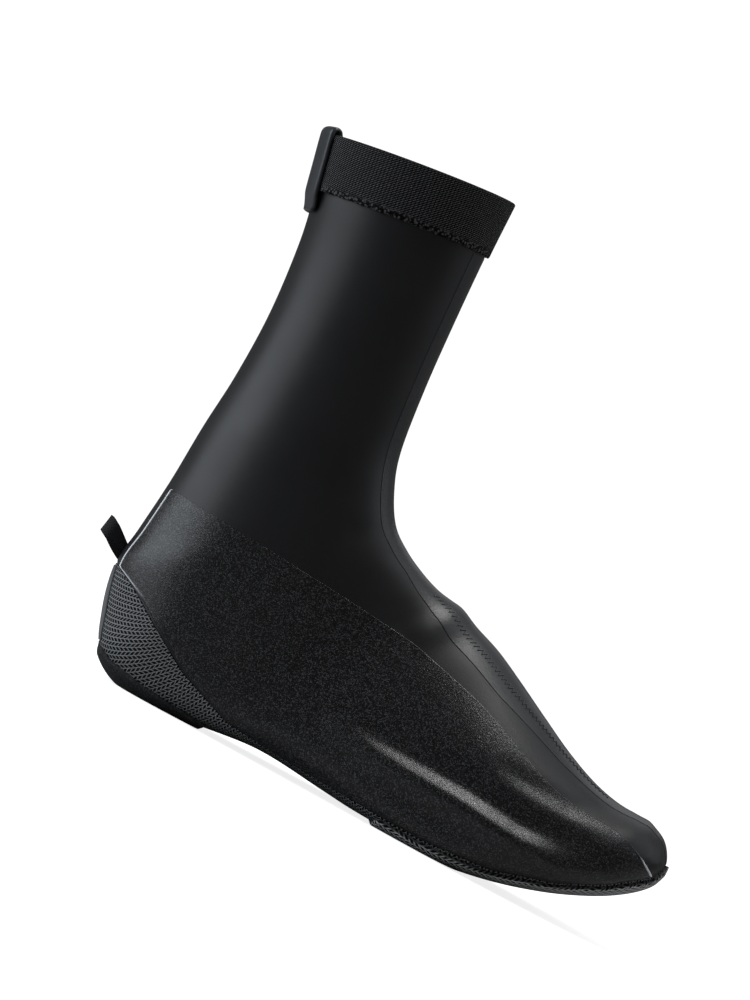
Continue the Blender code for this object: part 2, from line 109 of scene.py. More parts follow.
# Creases of the cloth over the shoe inside, placed in millimetres of the side view. A trough has a
# height below 0, a ridge one above it. Side is -1 for the outer side, 1 for the inner one, 0 for both.
Crease = namedtuple("Crease", "side path width height")
CREASES = [
    Crease(0, [(148, 52), (168, 50), (188, 50), (216, 59)], 4.5, -1.0),  # instep meets toe box
    Crease(0, [(78, 40), (105, 37.5), (145, 36.5), (172, 34), (210, 38)], 6.0, -2.1),  # the hollow below it
    Crease(0, [(72, 32), (100, 28), (145, 27), (172, 24.3), (194, 24), (222, 33)], 5.5, 2.9),  # shoe sole
    Crease(0, [(108, 110), (101, 96), (90, 80)], 7.0, 1.3),  # the top of the shoe's tongue
    Crease(0, [(227, 61), (236, 45)], 3.0, -0.5),  # small folds over the tip of the toe
    Crease(0, [(219, 62), (229, 45)], 3.5, -0.4),
    Crease(-1, [(60, 118), (40, 108)], 7.0, -0.5),  # the bend of the ankle
    Crease(1, [(58, 116), (36, 107)], 8.0, -0.6),
]
CREASE_FADE = 0.3


def section(t):
    """The section t rows from the rim, on a smooth curve through the table, in metres."""
    table = np.array(SECTIONS)
    table = np.vstack([2 * table[0] - table[1], table, 2 * table[-1] - table[-2]])
    row = min(max(int(t), 0), TOE_TIP - 1)
    u = t - row
    before, here, after, beyond = table[row : row + 4]
    bend = 2 * before - 5 * here + 4 * after - beyond
    twist = 3 * here - 3 * after + beyond - before
    found = Section(*(here + 0.5 * u * (after - before + u * (bend + u * twist))))
    return found._replace(
        front_x=found.front_x * LENGTH - HEEL_CENTRE,
        back_x=found.back_x * LENGTH - HEEL_CENTRE,
        front_z=found.front_z * RIM_HEIGHT,
        back_z=found.back_z * RIM_HEIGHT,
        half=max(found.half, 0) * BALL_WIDTH,
        swing=found.swing * BALL_WIDTH,
        lean=found.lean * BALL_WIDTH,
    )


@lru_cache(maxsize=None)
def half_ring(t):
    """Half of a section, from its front to its back: depth as a share, half width, and length along it."""
    s = section(t)
    turn = np.linspace(0, math.pi, RING_POINTS)
    front = turn <= math.pi / 2
    power = 2 / np.where(front, s.crown, s.base)
    width = s.half * np.sin(turn).clip(0, 1) ** power
    reach = np.abs(np.cos(turn)) ** power
    depth = np.where(front, s.widest * (1 - reach), s.widest + (1 - s.widest) * reach)
    tall = math.hypot(s.back_x - s.front_x, s.back_z - s.front_z)
    steps = np.hypot(np.diff(width), np.diff(depth) * tall)
    return s, depth, width, np.concatenate([[0], np.cumsum(steps)])


def half_girth(t):
    """The length of half a section, from its front to its back."""
    return max(half_ring(t)[3][-1], MM)


def place(t, q):
    """Points of a section: q runs from -1 at the back, by the outer side, to 0 in front, and on to 1."""
    s, depth, width, along = half_ring(t)
    q = (q + 1) % 2 - 1
    f = np.interp(np.abs(q) * along[-1], along, depth)
    w = np.interp(np.abs(q) * along[-1], along, width)
    x = s.front_x + (s.back_x - s.front_x) * f
    z = s.front_z + (s.back_z - s.front_z) * f
    y = s.swing + s.lean * (1 - f) ** 2 + np.copysign(w, q)
    return np.stack([x, y, np.maximum(z, SOLE_LIFT)], axis=-1)


def crease_lift(points):
    """How far the creases raise or sink points of the last. They fade towards their ends."""
    x, y, z = points.T / MM
    lift = np.zeros(len(x))
    for crease in CREASES:
        path = np.array(crease.path, float)
        lengths = np.hypot(*np.diff(path, axis=0).T)
        before, near, ends = 0, np.full(len(x), np.inf), np.zeros(len(x))
        for (x0, z0), (x1, z1), length in zip(path, path[1:], lengths):
            run, rise = (x1 - x0) / length, (z1 - z0) / length
            along = np.clip((x - x0) * run + (z - z0) * rise, 0, length)
            away = np.hypot(x - x0 - along * run, z - z0 - along * rise)
            end = np.minimum(before + along, lengths.sum() - before - along)
            ends = np.where(away < near, end, ends)
            near = np.minimum(near, away)
            before += length
        fade = np.sin(np.clip(ends / (CREASE_FADE * lengths.sum()), 0, 1) * math.pi / 2)
        there = np.where(y * crease.side >= 0, fade, 0.0)
        lift += there * crease.height * np.exp(-((near / crease.width) ** 2))
    return lift * MM


def skin(t, q, lift):
    """Points at a distance outside one section of the creased last, along its normals."""
    near = 0.02
    q = np.asarray(q, float)
    here = min(t, TOE_TIP - 2 * near)
    along = place(here + near, q) - place(here - near, q)
    across = place(here, q + near) - place(here, q - near)
    normal = np.cross(along, across)
    points = place(t, q)
    if t == TOE_TIP:
        normal = points - place(TOE_BOX, np.array([0.5]))
    normal /= np.linalg.norm(normal, axis=1, keepdims=True)
    return points + normal * (lift + crease_lift(points))[:, None]


def share_on(t, line):
    """Where a seam line crosses half a section, as a share of the half girth: 1 where it stays above."""
    s, depth, _, along = half_ring(t)
    x = (s.front_x + (s.back_x - s.front_x) * depth + HEEL_CENTRE) / LENGTH
    z = (s.front_z + (s.back_z - s.front_z) * depth) / RIM_HEIGHT
    above = z - np.interp(x, [p.x for p in line], [p.z for p in line])
    if above[0] <= 0:
        return 0.0
    if above[-1] >= 0:
        return 1.0
    i = int(np.argmax(above < 0))
    part = above[i - 1] / (above[i - 1] - above[i])
    return (along[i - 1] + part * (along[i] - along[i - 1])) / along[-1]


def sole_share(t, shift):
    """The sole seam's share at a section, moved a length towards the back or, if below 0, the front."""
    if t <= HEEL_BACK:
        return 1.0
    return min(max(share_on(t, SOLE_SEAM) + shift / half_girth(t), 0.0), 1.0)


def crossing(test, start, stop):
    """The place between two sections where a test that holds at the first stops holding."""
    for _ in range(40):
        middle = (start + stop) / 2
        start, stop = (middle, stop) if test(middle) else (start, middle)
    return start


def grid_piece(name, points, uv=None, **marks):
    """A grid mesh through rows of points, with a map in millimetres and named values at its points."""
    rows, columns = points.shape[:2]
    bpy.ops.object.select_all(action="DESELECT")
    bpy.ops.mesh.primitive_grid_add(x_subdivisions=rows - 1, y_subdivisions=columns - 1, size=1)
    piece = bpy.context.object
    piece.name = piece.data.name = name
    piece.data.vertices.foreach_set("co", points.transpose(1, 0, 2).ravel())
    for mark, values in marks.items():
        layer = piece.data.attributes.new(mark, "FLOAT", "POINT")
        layer.data.foreach_set("value", values.T.ravel())
    if uv is not None:
        corners = np.empty(len(piece.data.loops), dtype=int)
        piece.data.loops.foreach_get("vertex_index", corners)
        flat = (uv / MM).transpose(1, 0, 2).reshape(-1, 2)
        piece.data.uv_layers.active.data.foreach_set("uv", flat[corners].ravel())
    bpy.ops.object.mode_set(mode="EDIT")
    bpy.ops.mesh.select_all(action="SELECT")
    bpy.ops.mesh.remove_doubles(threshold=WELD)
    bpy.ops.object.mode_set(mode="OBJECT")
    return piece


def apply_modifier(piece, kind, **settings):
    """Gives a piece a modifier with its settings, and applies it."""
    modifier = piece.modifiers.new(kind.lower(), kind)
    for name, value in settings.items():
        setattr(modifier, name, value)
    bpy.context.view_layer.objects.active = piece
    bpy.ops.object.modifier_apply(modifier=modifier.name)


def give_wall(piece, wall):
    """Thickens a skin inwards, and keeps its rims crisp under smooth shading."""
    apply_modifier(piece, "SOLIDIFY", thickness=wall, offset=-1)
    bpy.ops.object.shade_smooth_by_angle(angle=CRISP_ANGLE)


def fit_piece(piece, finish, slot, *nodes):
    """Gives a piece its finish, lets it ride on the one body, and has it stand for CAD nodes."""
    piece.data.materials.clear()
    piece.data.materials.append(finish)
    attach(piece, "root")
    if nodes:
        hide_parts(*nodes)


def add_node(tree, kind, inputs, **settings):
    """A shader node with its settings made, and its inputs wired from sockets or set to values."""
    node = tree.nodes.new(kind)
    for name, value in settings.items():
        setattr(node, name, value)
    for name, value in inputs.items():
        if isinstance(value, bpy.types.NodeSocket):
            tree.links.new(value, node.inputs[name])
        else:
            node.inputs[name].default_value = value
    return node


def sum_node(tree, operation, first, second=0.0, third=0.0):
    """The result of a sum on up to three numbers."""
    return add_node(tree, "ShaderNodeMath", {0: first, 1: second, 2: third}, operation=operation).outputs[0]


def ramp_node(tree, value, low, high, bottom=0.0, top=1.0):
    """A value that goes smoothly from bottom to top while another goes from low to high."""
    inputs = {"Value": value, "From Min": low, "From Max": high, "To Min": bottom, "To Max": top}
    return add_node(tree, "ShaderNodeMapRange", inputs, interpolation_type="SMOOTHSTEP").outputs["Result"]


def colour_node(tree, share, first, second):
    """A colour between two others, the first of which may come from a socket."""
    mix = add_node(tree, "ShaderNodeMix", {"Factor": share}, data_type="RGBA")
    start, end = (socket for socket in mix.inputs if socket.type == "RGBA")
    end.default_value = (*second, 1)
    if isinstance(first, bpy.types.NodeSocket):
        tree.links.new(first, start)
    else:
        start.default_value = (*first, 1)
    return next(socket for socket in mix.outputs if socket.type == "RGBA")


def noise_node(tree, coords, scale, **settings):
    """Soft noise from 0 to 1."""
    noise = add_node(tree, "ShaderNodeTexNoise", {"Vector": coords, "Scale": scale, **settings})
    return noise.outputs["Fac"]


def new_group(name, inputs, outputs):
    """An empty node group that takes a place and some numbers and gives numbers."""
    group = bpy.data.node_groups.new(name, "ShaderNodeTree")
    group.interface.new_socket("Vector", in_out="INPUT", socket_type="NodeSocketVector")
    for socket, value in inputs.items():
        number = group.interface.new_socket(socket, in_out="INPUT", socket_type="NodeSocketFloat")
        number.default_value = value
    for socket in outputs:
        group.interface.new_socket(socket, in_out="OUTPUT", socket_type="NodeSocketFloat")
    return group, group.nodes.new("NodeGroupInput").outputs, group.nodes.new("NodeGroupOutput").inputs


def new_finish(name, colour, roughness, **sockets):
    """A plain finish, with the place on the piece that its patterns read."""
    finish = bpy.data.materials.new(name)
    finish.use_nodes = True
    shader = finish.node_tree.nodes["Principled BSDF"]
    shader.inputs["Base Color"].default_value = (*colour, 1)
    shader.inputs["Roughness"].default_value = roughness
    for socket, value in sockets.items():
        shader.inputs[socket.replace("_", " ")].default_value = value
    return finish, finish.node_tree, shader, finish.node_tree.nodes.new("ShaderNodeTexCoord")


def tint(tree, shader, share, dark, light):
    """Colours a finish by a share between a dark colour and a light one."""
    tree.links.new(colour_node(tree, share, dark, light), shader.inputs["Base Color"])


def add_bump(tree, shader, height, depth):
    """Raises the surface of a finish by a height from 0 to 1, times a depth."""
    bump = add_node(tree, "ShaderNodeBump", {"Height": height, "Distance": depth})
    tree.links.new(bump.outputs["Normal"], shader.inputs["Normal"])


# Grain: a fine uneven surface and, far wider, an uneven tone.
grain, taken, given = new_group("grain", {"Scale": 1500.0}, ["Height", "Tone"])
fine = noise_node(grain, taken["Vector"], taken["Scale"], Detail=3.0)
wide_scale = sum_node(grain, "DIVIDE", taken["Scale"], 40.0)
wide = noise_node(grain, taken["Vector"], wide_scale, Detail=2.0)
grain.links.new(fine, given["Height"])
grain.links.new(wide, given["Tone"])


def add_grain(tree, coords, scale):
    """Places the grain in a finish."""
    return add_node(tree, "ShaderNodeGroup", {"Vector": coords, "Scale": scale}, node_tree=grain).outputs


laminate, tree, shader, coords = new_finish(
    "coated_laminate", (0.008, 0.008, 0.009), 0.42, Specular_IOR_Level=0.4
)
coating = add_grain(tree, coords.outputs["Object"], 1800.0)
tint(tree, shader, coating["Tone"], dark=(0.007, 0.007, 0.008), light=(0.010, 0.010, 0.0115))
tree.links.new(ramp_node(tree, coating["Tone"], 0.3, 0.7, 0.40, 0.45), shader.inputs["Roughness"])
add_bump(tree, shader, coating["Height"], 0.03 * MM)

UPPER_TOE = crossing(lambda t: sole_share(t, -SEAM_GAP / 2) > 0, TOE_BOX, TOE_TIP)
rows = np.linspace(COLLAR, UPPER_TOE, UPPER_ROWS)
points = []
for t in rows:
    edge = sole_share(t, -SEAM_GAP / 2)
    points.append(skin(t, np.linspace(-edge, edge, UPPER_COLUMNS), np.zeros(UPPER_COLUMNS)))
upper = grid_piece("upper_sock", np.array(points))
give_wall(upper, UPPER_WALL)
fit_piece(upper, laminate, "laminate", "upper")

# The sole: a boat of coarse woven mesh under the foot, drawn up to a point behind the heel and at the toe.
# It is sewn to the upper's lower edge, and an opening with round corners is cut in it for the cleat.
SOLE_WALL = 1.4 * MM
SOLE_TIP = 0.03
CLEAT_X = 187 * MM - HEEL_CENTRE
CLEAT_LENGTH = 48 * MM
CLEAT_WIDTH = 38 * MM
CLEAT_CORNER = 8 * MM
CUTTER_HEIGHT = 30 * MM
SOLE_ROWS, SOLE_COLUMNS = 190, 97
MESH_TURN = math.radians(42)
OUTER_SIDE_Y = -20
HEEL_STRETCH = (-40, 40)

# Woven goods: rows of threads with slanted gaps, which lean one way, or in turn one way and the other.
weave, taken, given = new_group(
    "weave", {"Along": 2.0, "Across": 1.8, "Slant": 0.5, "Alternate": 1.0, "Gap": 0.5}, ["Thread", "Height"]
)
parts = add_node(weave, "ShaderNodeSeparateXYZ", {"Vector": taken["Vector"]}).outputs
row_place = sum_node(weave, "DIVIDE", parts["Y"], taken["Across"])
row_number = sum_node(weave, "FLOOR", row_place)
in_row = sum_node(weave, "SUBTRACT", sum_node(weave, "SUBTRACT", row_place, row_number), 0.5)
odd = sum_node(weave, "FLOORED_MODULO", row_number, 2.0)
sign = sum_node(weave, "MULTIPLY_ADD", odd, 2.0, -1.0)
zigzag = sum_node(weave, "MULTIPLY", in_row, sign)
straight = sum_node(weave, "MULTIPLY", row_place, sum_node(weave, "SUBTRACT", 1.0, taken["Alternate"]))
lean = sum_node(weave, "MULTIPLY_ADD", zigzag, taken["Alternate"], straight)
column_place = sum_node(weave, "DIVIDE", parts["X"], taken["Along"])
half_step = sum_node(weave, "MULTIPLY", taken["Alternate"], 0.5)
offset = sum_node(weave, "MULTIPLY_ADD", odd, half_step, column_place)
leaning = sum_node(weave, "MULTIPLY_ADD", lean, taken["Slant"], offset)
in_column = sum_node(weave, "SUBTRACT", sum_node(weave, "FRACT", leaning), 0.5)
off_middle = sum_node(weave, "ABSOLUTE", in_column)
half_gap = sum_node(weave, "MULTIPLY", taken["Gap"], 0.5)
gap_start, gap_end = (sum_node(weave, "ADD", half_gap, soft) for soft in (-0.08, 0.08))
gap_across = ramp_node(weave, off_middle, gap_start, gap_end)
gap_along = ramp_node(weave, sum_node(weave, "ABSOLUTE", in_row), 0.30, 0.46)
threads = sum_node(weave, "MAXIMUM", gap_across, gap_along)
weave.links.new(threads, given["Thread"])
crown = sum_node(weave, "SUBTRACT", 1.0, sum_node(weave, "MULTIPLY", gap_along, 0.35))
weave.links.new(sum_node(weave, "MULTIPLY", threads, crown), given["Height"])


def add_weave(tree, coords, **sizes):
    """Places the weave in a finish, with its sizes in millimetres."""
    return add_node(tree, "ShaderNodeGroup", {"Vector": coords, **sizes}, node_tree=weave).outputs


grip_mesh, tree, shader, coords = new_finish("grip_mesh", (0.14, 0.14, 0.14), 0.75, Specular_IOR_Level=0.15)
mesh_weave = add_weave(
    tree, coords.outputs["UV"], Along=1.95, Across=1.6, Slant=0.8, Alternate=1.0, Gap=0.72
)
yarn = add_grain(tree, coords.outputs["Object"], 2500.0)
strands = ramp_node(tree, yarn["Height"], 0.25, 0.75, 0.75, 1.0)
tone = sum_node(tree, "MULTIPLY", mesh_weave["Thread"], strands)
tint(tree, shader, tone, dark=(0.002, 0.002, 0.002), light=(0.31, 0.315, 0.32))
add_bump(tree, shader, mesh_weave["Height"], 0.35 * MM)


def lay_flat(piece, stretch, turn):
    """Maps a sheet as it lay when cut, in millimetres, turned from how a stretch of its outer side lies."""
    bpy.ops.object.mode_set(mode="EDIT")
    bpy.ops.mesh.select_all(action="SELECT")
    bpy.ops.uv.unwrap(method="MINIMUM_STRETCH", margin=0)
    bpy.ops.object.mode_set(mode="OBJECT")
    mesh = piece.data
    corners = np.empty(len(mesh.loops), dtype=int)
    mesh.loops.foreach_get("vertex_index", corners)
    spots = np.empty(len(mesh.vertices) * 3)
    mesh.vertices.foreach_get("co", spots)
    x, y, z = spots.reshape(-1, 3)[corners].T / MM
    flat = np.empty(len(mesh.loops) * 2)
    mesh.uv_layers.active.data.foreach_get("uv", flat)
    flat = flat[0::2] + 1j * flat[1::2]
    known = (y < OUTER_SIDE_Y) & (x > stretch[0]) & (x < stretch[1])
    fits = []
    for sheet in (flat, flat.conj()):
        terms = np.column_stack([sheet, np.ones(len(sheet))])
        scale, rest, _, _ = np.linalg.lstsq(terms[known], (x + 1j * z)[known], rcond=None)
        fits.append((abs(rest.sum()), terms @ scale))
    laid = min(fits, key=lambda fit: fit[0])[1] * np.exp(-1j * turn)
    mesh.uv_layers.active.data.foreach_set("uv", np.column_stack([laid.real, laid.imag]).ravel())


def cut_cleat_opening(piece, extra):
    """Cuts the cleat's opening through a piece under the ball, larger by some hem all round."""
    bpy.ops.object.select_all(action="DESELECT")
    bpy.ops.mesh.primitive_cube_add(size=1, location=(CLEAT_X, 0, 0))
    cutter = bpy.context.object
    cutter.scale = (CLEAT_LENGTH + 2 * extra, CLEAT_WIDTH + 2 * extra, CUTTER_HEIGHT)
    bpy.ops.object.transform_apply(location=True, rotation=False, scale=True)
    bpy.ops.object.mode_set(mode="EDIT")
    bpy.ops.mesh.select_all(action="DESELECT")
    bpy.ops.object.mode_set(mode="OBJECT")
    for edge in cutter.data.edges:
        low, high = (cutter.data.vertices[i].co.z for i in edge.vertices)
        edge.select = abs(high - low) > MM
    bpy.ops.object.mode_set(mode="EDIT")
    bpy.ops.mesh.select_mode(type="EDGE")
    bpy.ops.mesh.bevel(offset=CLEAT_CORNER + extra, segments=10, affect="EDGES")
    bpy.ops.object.mode_set(mode="OBJECT")
    apply_modifier(piece, "BOOLEAN", operation="DIFFERENCE", object=cutter)
    bpy.data.objects.remove(cutter)


SOLE_HEEL = crossing(lambda t: sole_share(t, SEAM_GAP / 2) >= 1, HEEL_BACK, HEEL_BACK + 1) + SOLE_TIP
points = []
for t in np.linspace(SOLE_HEEL, TOE_TIP, SOLE_ROWS):
    edge = sole_share(t, SEAM_GAP / 2)
    points.append(skin(t, np.linspace(edge, 2 - edge, SOLE_COLUMNS), np.zeros(SOLE_COLUMNS)))
sole = grid_piece("sole_mesh", np.array(points))
lay_flat(sole, HEEL_STRETCH, MESH_TURN)
give_wall(sole, SOLE_WALL)
cut_cleat_opening(sole, 0)
fit_piece(sole, grip_mesh, "grip_mesh", "sole")

# The heel patch: a cup of finely napped black rubber under and round the heel, against the wear of walking.
# It is moulded flat where it stands, and bonded to the sole with a rounded edge that thins out at the back.
HEEL_PATCH_TOP = [
    SeamPoint(0.030, 0.052),
    SeamPoint(0.067, 0.034),
    SeamPoint(0.133, 0.023),
    SeamPoint(0.200, 0.018),
    SeamPoint(0.250, 0.015),
]
HEEL_PATCH_FRONT = 12.2
PATCH_EDGE = 1.3 * MM
HEEL_PATCH_TAPER = 6 * MM
HEEL_PATCH_ROWS, HEEL_PATCH_COLUMNS = 90, 91
CLOSE_TO_EDGE = np.array([0, 0.08, 0.2, 0.4, 0.65, 0.95, 1.3, 1.8]) * MM


def round_edge(distance, radius):
    """How much of a wall stands at a distance from its edge, which is a quarter round."""
    part = np.clip(distance / radius, 0, 1)
    return np.sqrt(1 - (1 - part) ** 2)


def edged_shares(t, low, high, columns):
    """Columns from one share to another, some of them set close beside both edges."""
    girth = half_girth(t)
    width = (high - low) * girth
    beside = CLOSE_TO_EDGE * min(1, width / (4 * CLOSE_TO_EDGE[-1] + WELD))
    between = np.linspace(beside[-1], width - beside[-1], columns - 2 * len(beside) + 2)[1:-1]
    return low + np.concatenate([beside, between, width - beside[::-1]]) / girth


def edge_distance(t, q):
    """How far the points of a row lie from its nearer end."""
    return np.minimum(q - q[0], q[-1] - q) * half_girth(t)


def end_distance(t, q, end, inward):
    """How far the points of a row lie from the row at one end of their piece."""
    return abs(t - end) * np.linalg.norm(place(end + inward, q) - place(end, q), axis=1)


napped_rubber, tree, shader, coords = new_finish("napped_rubber", (0.012, 0.012, 0.012), 0.85)
nap = add_grain(tree, coords.outputs["Object"], 1500.0)
tufts = ramp_node(tree, nap["Height"], 0.42, 0.68)
tint(tree, shader, tufts, dark=(0.001, 0.001, 0.001), light=(0.040, 0.040, 0.044))
add_bump(tree, shader, nap["Height"], 0.5 * MM)

patch_back = crossing(lambda t: share_on(t, HEEL_PATCH_TOP) >= 1, HEEL_BACK + 1, HEEL_BACK + 3)
rows = patch_back + (HEEL_PATCH_FRONT - patch_back) * np.linspace(0, 1, HEEL_PATCH_ROWS) ** 1.3
points = []
for t in rows:
    edge = share_on(t, HEEL_PATCH_TOP)
    q = edged_shares(t, edge, 2 - edge, HEEL_PATCH_COLUMNS)
    rise = np.clip(end_distance(t, q, patch_back, 1) / HEEL_PATCH_TAPER, 0, 1)
    beside = np.minimum(edge_distance(t, q), end_distance(t, q, HEEL_PATCH_FRONT, -1))
    wall = PATCH_WALL * round_edge(beside, PATCH_EDGE)
    points.append(skin(t, q, GAP + wall * rise * rise * (3 - 2 * rise)))
heel_patch = grid_piece("heel_patch_rubber", np.array(points))
give_wall(heel_patch, GAP)
fit_piece(heel_patch, napped_rubber, "heel_rubber", "heel_patch")

# The forefoot patch: a second layer of chunky braided mesh under the ball and up round the toe, for grip.
# It is sewn on along its edge, is darker towards its edges, and is cut back all round the cleat's opening.
FOREFOOT_PATCH_BACK = 14.8
FOREFOOT_PATCH_ROWS, FOREFOOT_PATCH_COLUMNS = 130, 113
CLEAT_HEM = 2.5 * MM
DARK_EDGE_WIDTH = 1.5 * MM
BALL_STRETCH = (90, 190)


def mark_node(tree, name):
    """A value that the points of a piece carry."""
    return add_node(tree, "ShaderNodeAttribute", {}, attribute_name=name).outputs["Fac"]


braid, tree, shader, coords = new_finish("grip_braid", (0.14, 0.14, 0.14), 0.75, Specular_IOR_Level=0.15)
braid_weave = add_weave(
    tree, coords.outputs["UV"], Along=2.5, Across=2.2, Slant=0.9, Alternate=1.0, Gap=0.6
)
yarn = add_grain(tree, coords.outputs["Object"], 2500.0)
strands = ramp_node(tree, yarn["Height"], 0.25, 0.75, 0.7, 1.0)
# The threads grow darker within a short width of the patch's edges.
off_dark_edge = ramp_node(tree, mark_node(tree, "edge"), 0.3, 0.8, 1.0, 0.1)
tone = sum_node(tree, "MULTIPLY", sum_node(tree, "MULTIPLY", braid_weave["Thread"], strands), off_dark_edge)
# The light threads are near white: in part grey yarn, in part painted light standing in for light thrown up
# from the white floor.
tint(tree, shader, tone, dark=(0.002, 0.002, 0.002), light=(0.82, 0.825, 0.83))
add_bump(tree, shader, braid_weave["Height"], 0.5 * MM)

toe_edge = crossing(lambda t: sole_share(t, SEAM_MARGIN) > 0, TOE_BOX, TOE_TIP)
points, edge_bands = [], []
for t in np.linspace(FOREFOOT_PATCH_BACK, TOE_TIP, FOREFOOT_PATCH_ROWS):
    edge = sole_share(t, SEAM_MARGIN)
    q = edged_shares(t, edge, 2 - edge, FOREFOOT_PATCH_COLUMNS)
    closed = np.linalg.norm(place(max(t, toe_edge), np.zeros(1)) - place(toe_edge, np.zeros(1)))
    beside = np.minimum(np.hypot(edge_distance(t, q), closed), end_distance(t, q, FOREFOOT_PATCH_BACK, 1))
    points.append(skin(t, q, GAP + PATCH_WALL * round_edge(beside, PATCH_EDGE)))
    edge_bands.append(np.clip(1 - beside / DARK_EDGE_WIDTH, 0, 1))
forefoot_patch = grid_piece("forefoot_patch_mesh", np.array(points), edge=np.array(edge_bands))
lay_flat(forefoot_patch, BALL_STRETCH, 0.0)
give_wall(forefoot_patch, GAP)
cut_cleat_opening(forefoot_patch, CLEAT_HEM)
fit_piece(forefoot_patch, braid, "grip_mesh", "forefoot_patch")

# The side films: a skin of black film on each lower side, against rain and spray, from beside the heel to
# the toe. It is bonded on, its face has a fine bright speckle, and its cut edge is a smooth glossy bead.
# Near the back and at the toe the bead is coloured near white: a painted highlight.
FILM_FACE = 0.25 * MM
FILM_BEAD = 0.45 * MM
BEAD_PLACE = 0.7 * MM
BEAD_END = 9.2
BEAD_START = 19.0
BACK_STRIP_HALF = 13 * MM
FILM_ROUND = 0.4 * MM
FILM_ROWS, FILM_COLUMNS = 230, 60
FAIR_POINTS, FAIR_ROUNDS = 201, 50
FILM_TOP = [
    SeamPoint(0.000, 0.330),
    SeamPoint(0.140, 0.323),
    SeamPoint(0.316, 0.311),
    SeamPoint(0.474, 0.297),
    SeamPoint(0.621, 0.260),
    SeamPoint(0.758, 0.200),
    SeamPoint(0.842, 0.187),
    SeamPoint(0.905, 0.185),
    SeamPoint(0.955, 0.163),
    SeamPoint(0.985, 0.140),
]

# Speckle: flecks of random brightness, and the pebbled surface that carries them.
speckle, taken, given = new_group("speckle", {"Scale": 1500.0}, ["Fleck", "Height"])
cells = add_node(speckle, "ShaderNodeTexVoronoi", {"Vector": taken["Vector"], "Scale": taken["Scale"]})
chance = add_node(speckle, "ShaderNodeSeparateColor", {"Color": cells.outputs["Color"]}).outputs["Red"]
pebble = noise_node(speckle, taken["Vector"], taken["Scale"], Detail=1.0)
speckle.links.new(ramp_node(speckle, chance, 0.6, 1.0), given["Fleck"])
speckle.links.new(pebble, given["Height"])


def smooth_path(path, rounds):
    """Rounds the corners of a path between its ends, which stay."""
    for _ in range(rounds):
        path[1:-1] = (path[:-2] + 2 * path[1:-1] + path[2:]) / 4
    return path


# The film is cut along a fair curve by the points of its top edge.
fair_x = np.linspace(FILM_TOP[0].x, FILM_TOP[-1].x, FAIR_POINTS)
fair_z = smooth_path(np.interp(fair_x, *np.array(FILM_TOP).T), FAIR_ROUNDS)
FILM_EDGE = [SeamPoint(x, z) for x, z in zip(fair_x, fair_z)]

film, tree, shader, coords = new_finish(
    "speckled_film", (0.006, 0.006, 0.007), 0.32, Specular_IOR_Level=0.4
)
fleck_place = {"Vector": coords.outputs["Object"], "Scale": 2600.0}
flecks = add_node(tree, "ShaderNodeGroup", fleck_place, node_tree=speckle).outputs
bead_and_painted_glint = mark_node(tree, "edge")
face = sum_node(tree, "SUBTRACT", 1.0, bead_and_painted_glint)
speckled = colour_node(tree, flecks["Fleck"], (0.003, 0.003, 0.0035), (0.076, 0.076, 0.081))
# The bead's near-white colour is a painted highlight, standing in for light glinting on the glossy edge.
tint(tree, shader, ramp_node(tree, bead_and_painted_glint, 0.4, 0.9), dark=speckled, light=(0.85, 0.85, 0.90))
face_roughness = ramp_node(tree, flecks["Fleck"], 0.0, 1.0, 0.18, 0.07)
roughness = sum_node(tree, "MULTIPLY_ADD", face_roughness, face, 0.1)
tree.links.new(roughness, shader.inputs["Roughness"])
add_bump(tree, shader, sum_node(tree, "MULTIPLY", flecks["Height"], face), 0.11 * MM)


def film_limits(t):
    """The shares of half a section at the top and the foot of the film."""
    back = 1 - BACK_STRIP_HALF / half_girth(t)
    return share_on(t, FILM_EDGE), min(sole_share(t, -SEAM_MARGIN), back)


def film_fits(t):
    """Whether a section has any film on it."""
    top, foot = film_limits(t)
    return top < foot


film_start = crossing(lambda t: not film_fits(t), HEEL_BACK - 3, HEEL_BACK)
film_stop = crossing(film_fits, TOE_BOX, TOE_TIP)
ease = np.linspace(0, 1, FILM_ROWS)
rows = film_start + (film_stop - film_start) * (ease - 0.06 * np.sin(2 * math.pi * ease))
for side, name in ((-1, "side_film_outer"), (1, "side_film_inner")):
    points, rims = [], []
    for t in rows:
        q = edged_shares(t, *film_limits(t), FILM_COLUMNS)
        lift = FILM_FACE * round_edge(edge_distance(t, q), FILM_ROUND)
        # The rim share marks the bead, which the finish colours near white as a painted highlight.
        rim = np.zeros(len(q))
        behind, ahead = np.clip(BEAD_END - t, 0, 1), np.clip(t - BEAD_START, 0, 1)
        for share, beside in ((behind, q[-1] - q), (ahead, q - q[0])):
            beside = beside * half_girth(t)
            lift += share * FILM_BEAD * np.exp(-(((beside - BEAD_PLACE) / (0.5 * BEAD_PLACE)) ** 2))
            rim = np.maximum(rim, share * np.clip(2.2 - beside / BEAD_PLACE, 0, 1))
        order = slice(None, None, side)
        points.append(skin(t, side * q[order], lift[order]))
        rims.append(rim[order])
    side_film = grid_piece(name + "_skin", np.array(points), edge=np.array(rims))
    give_wall(side_film, GAP)
    fit_piece(side_film, film, "film", name)

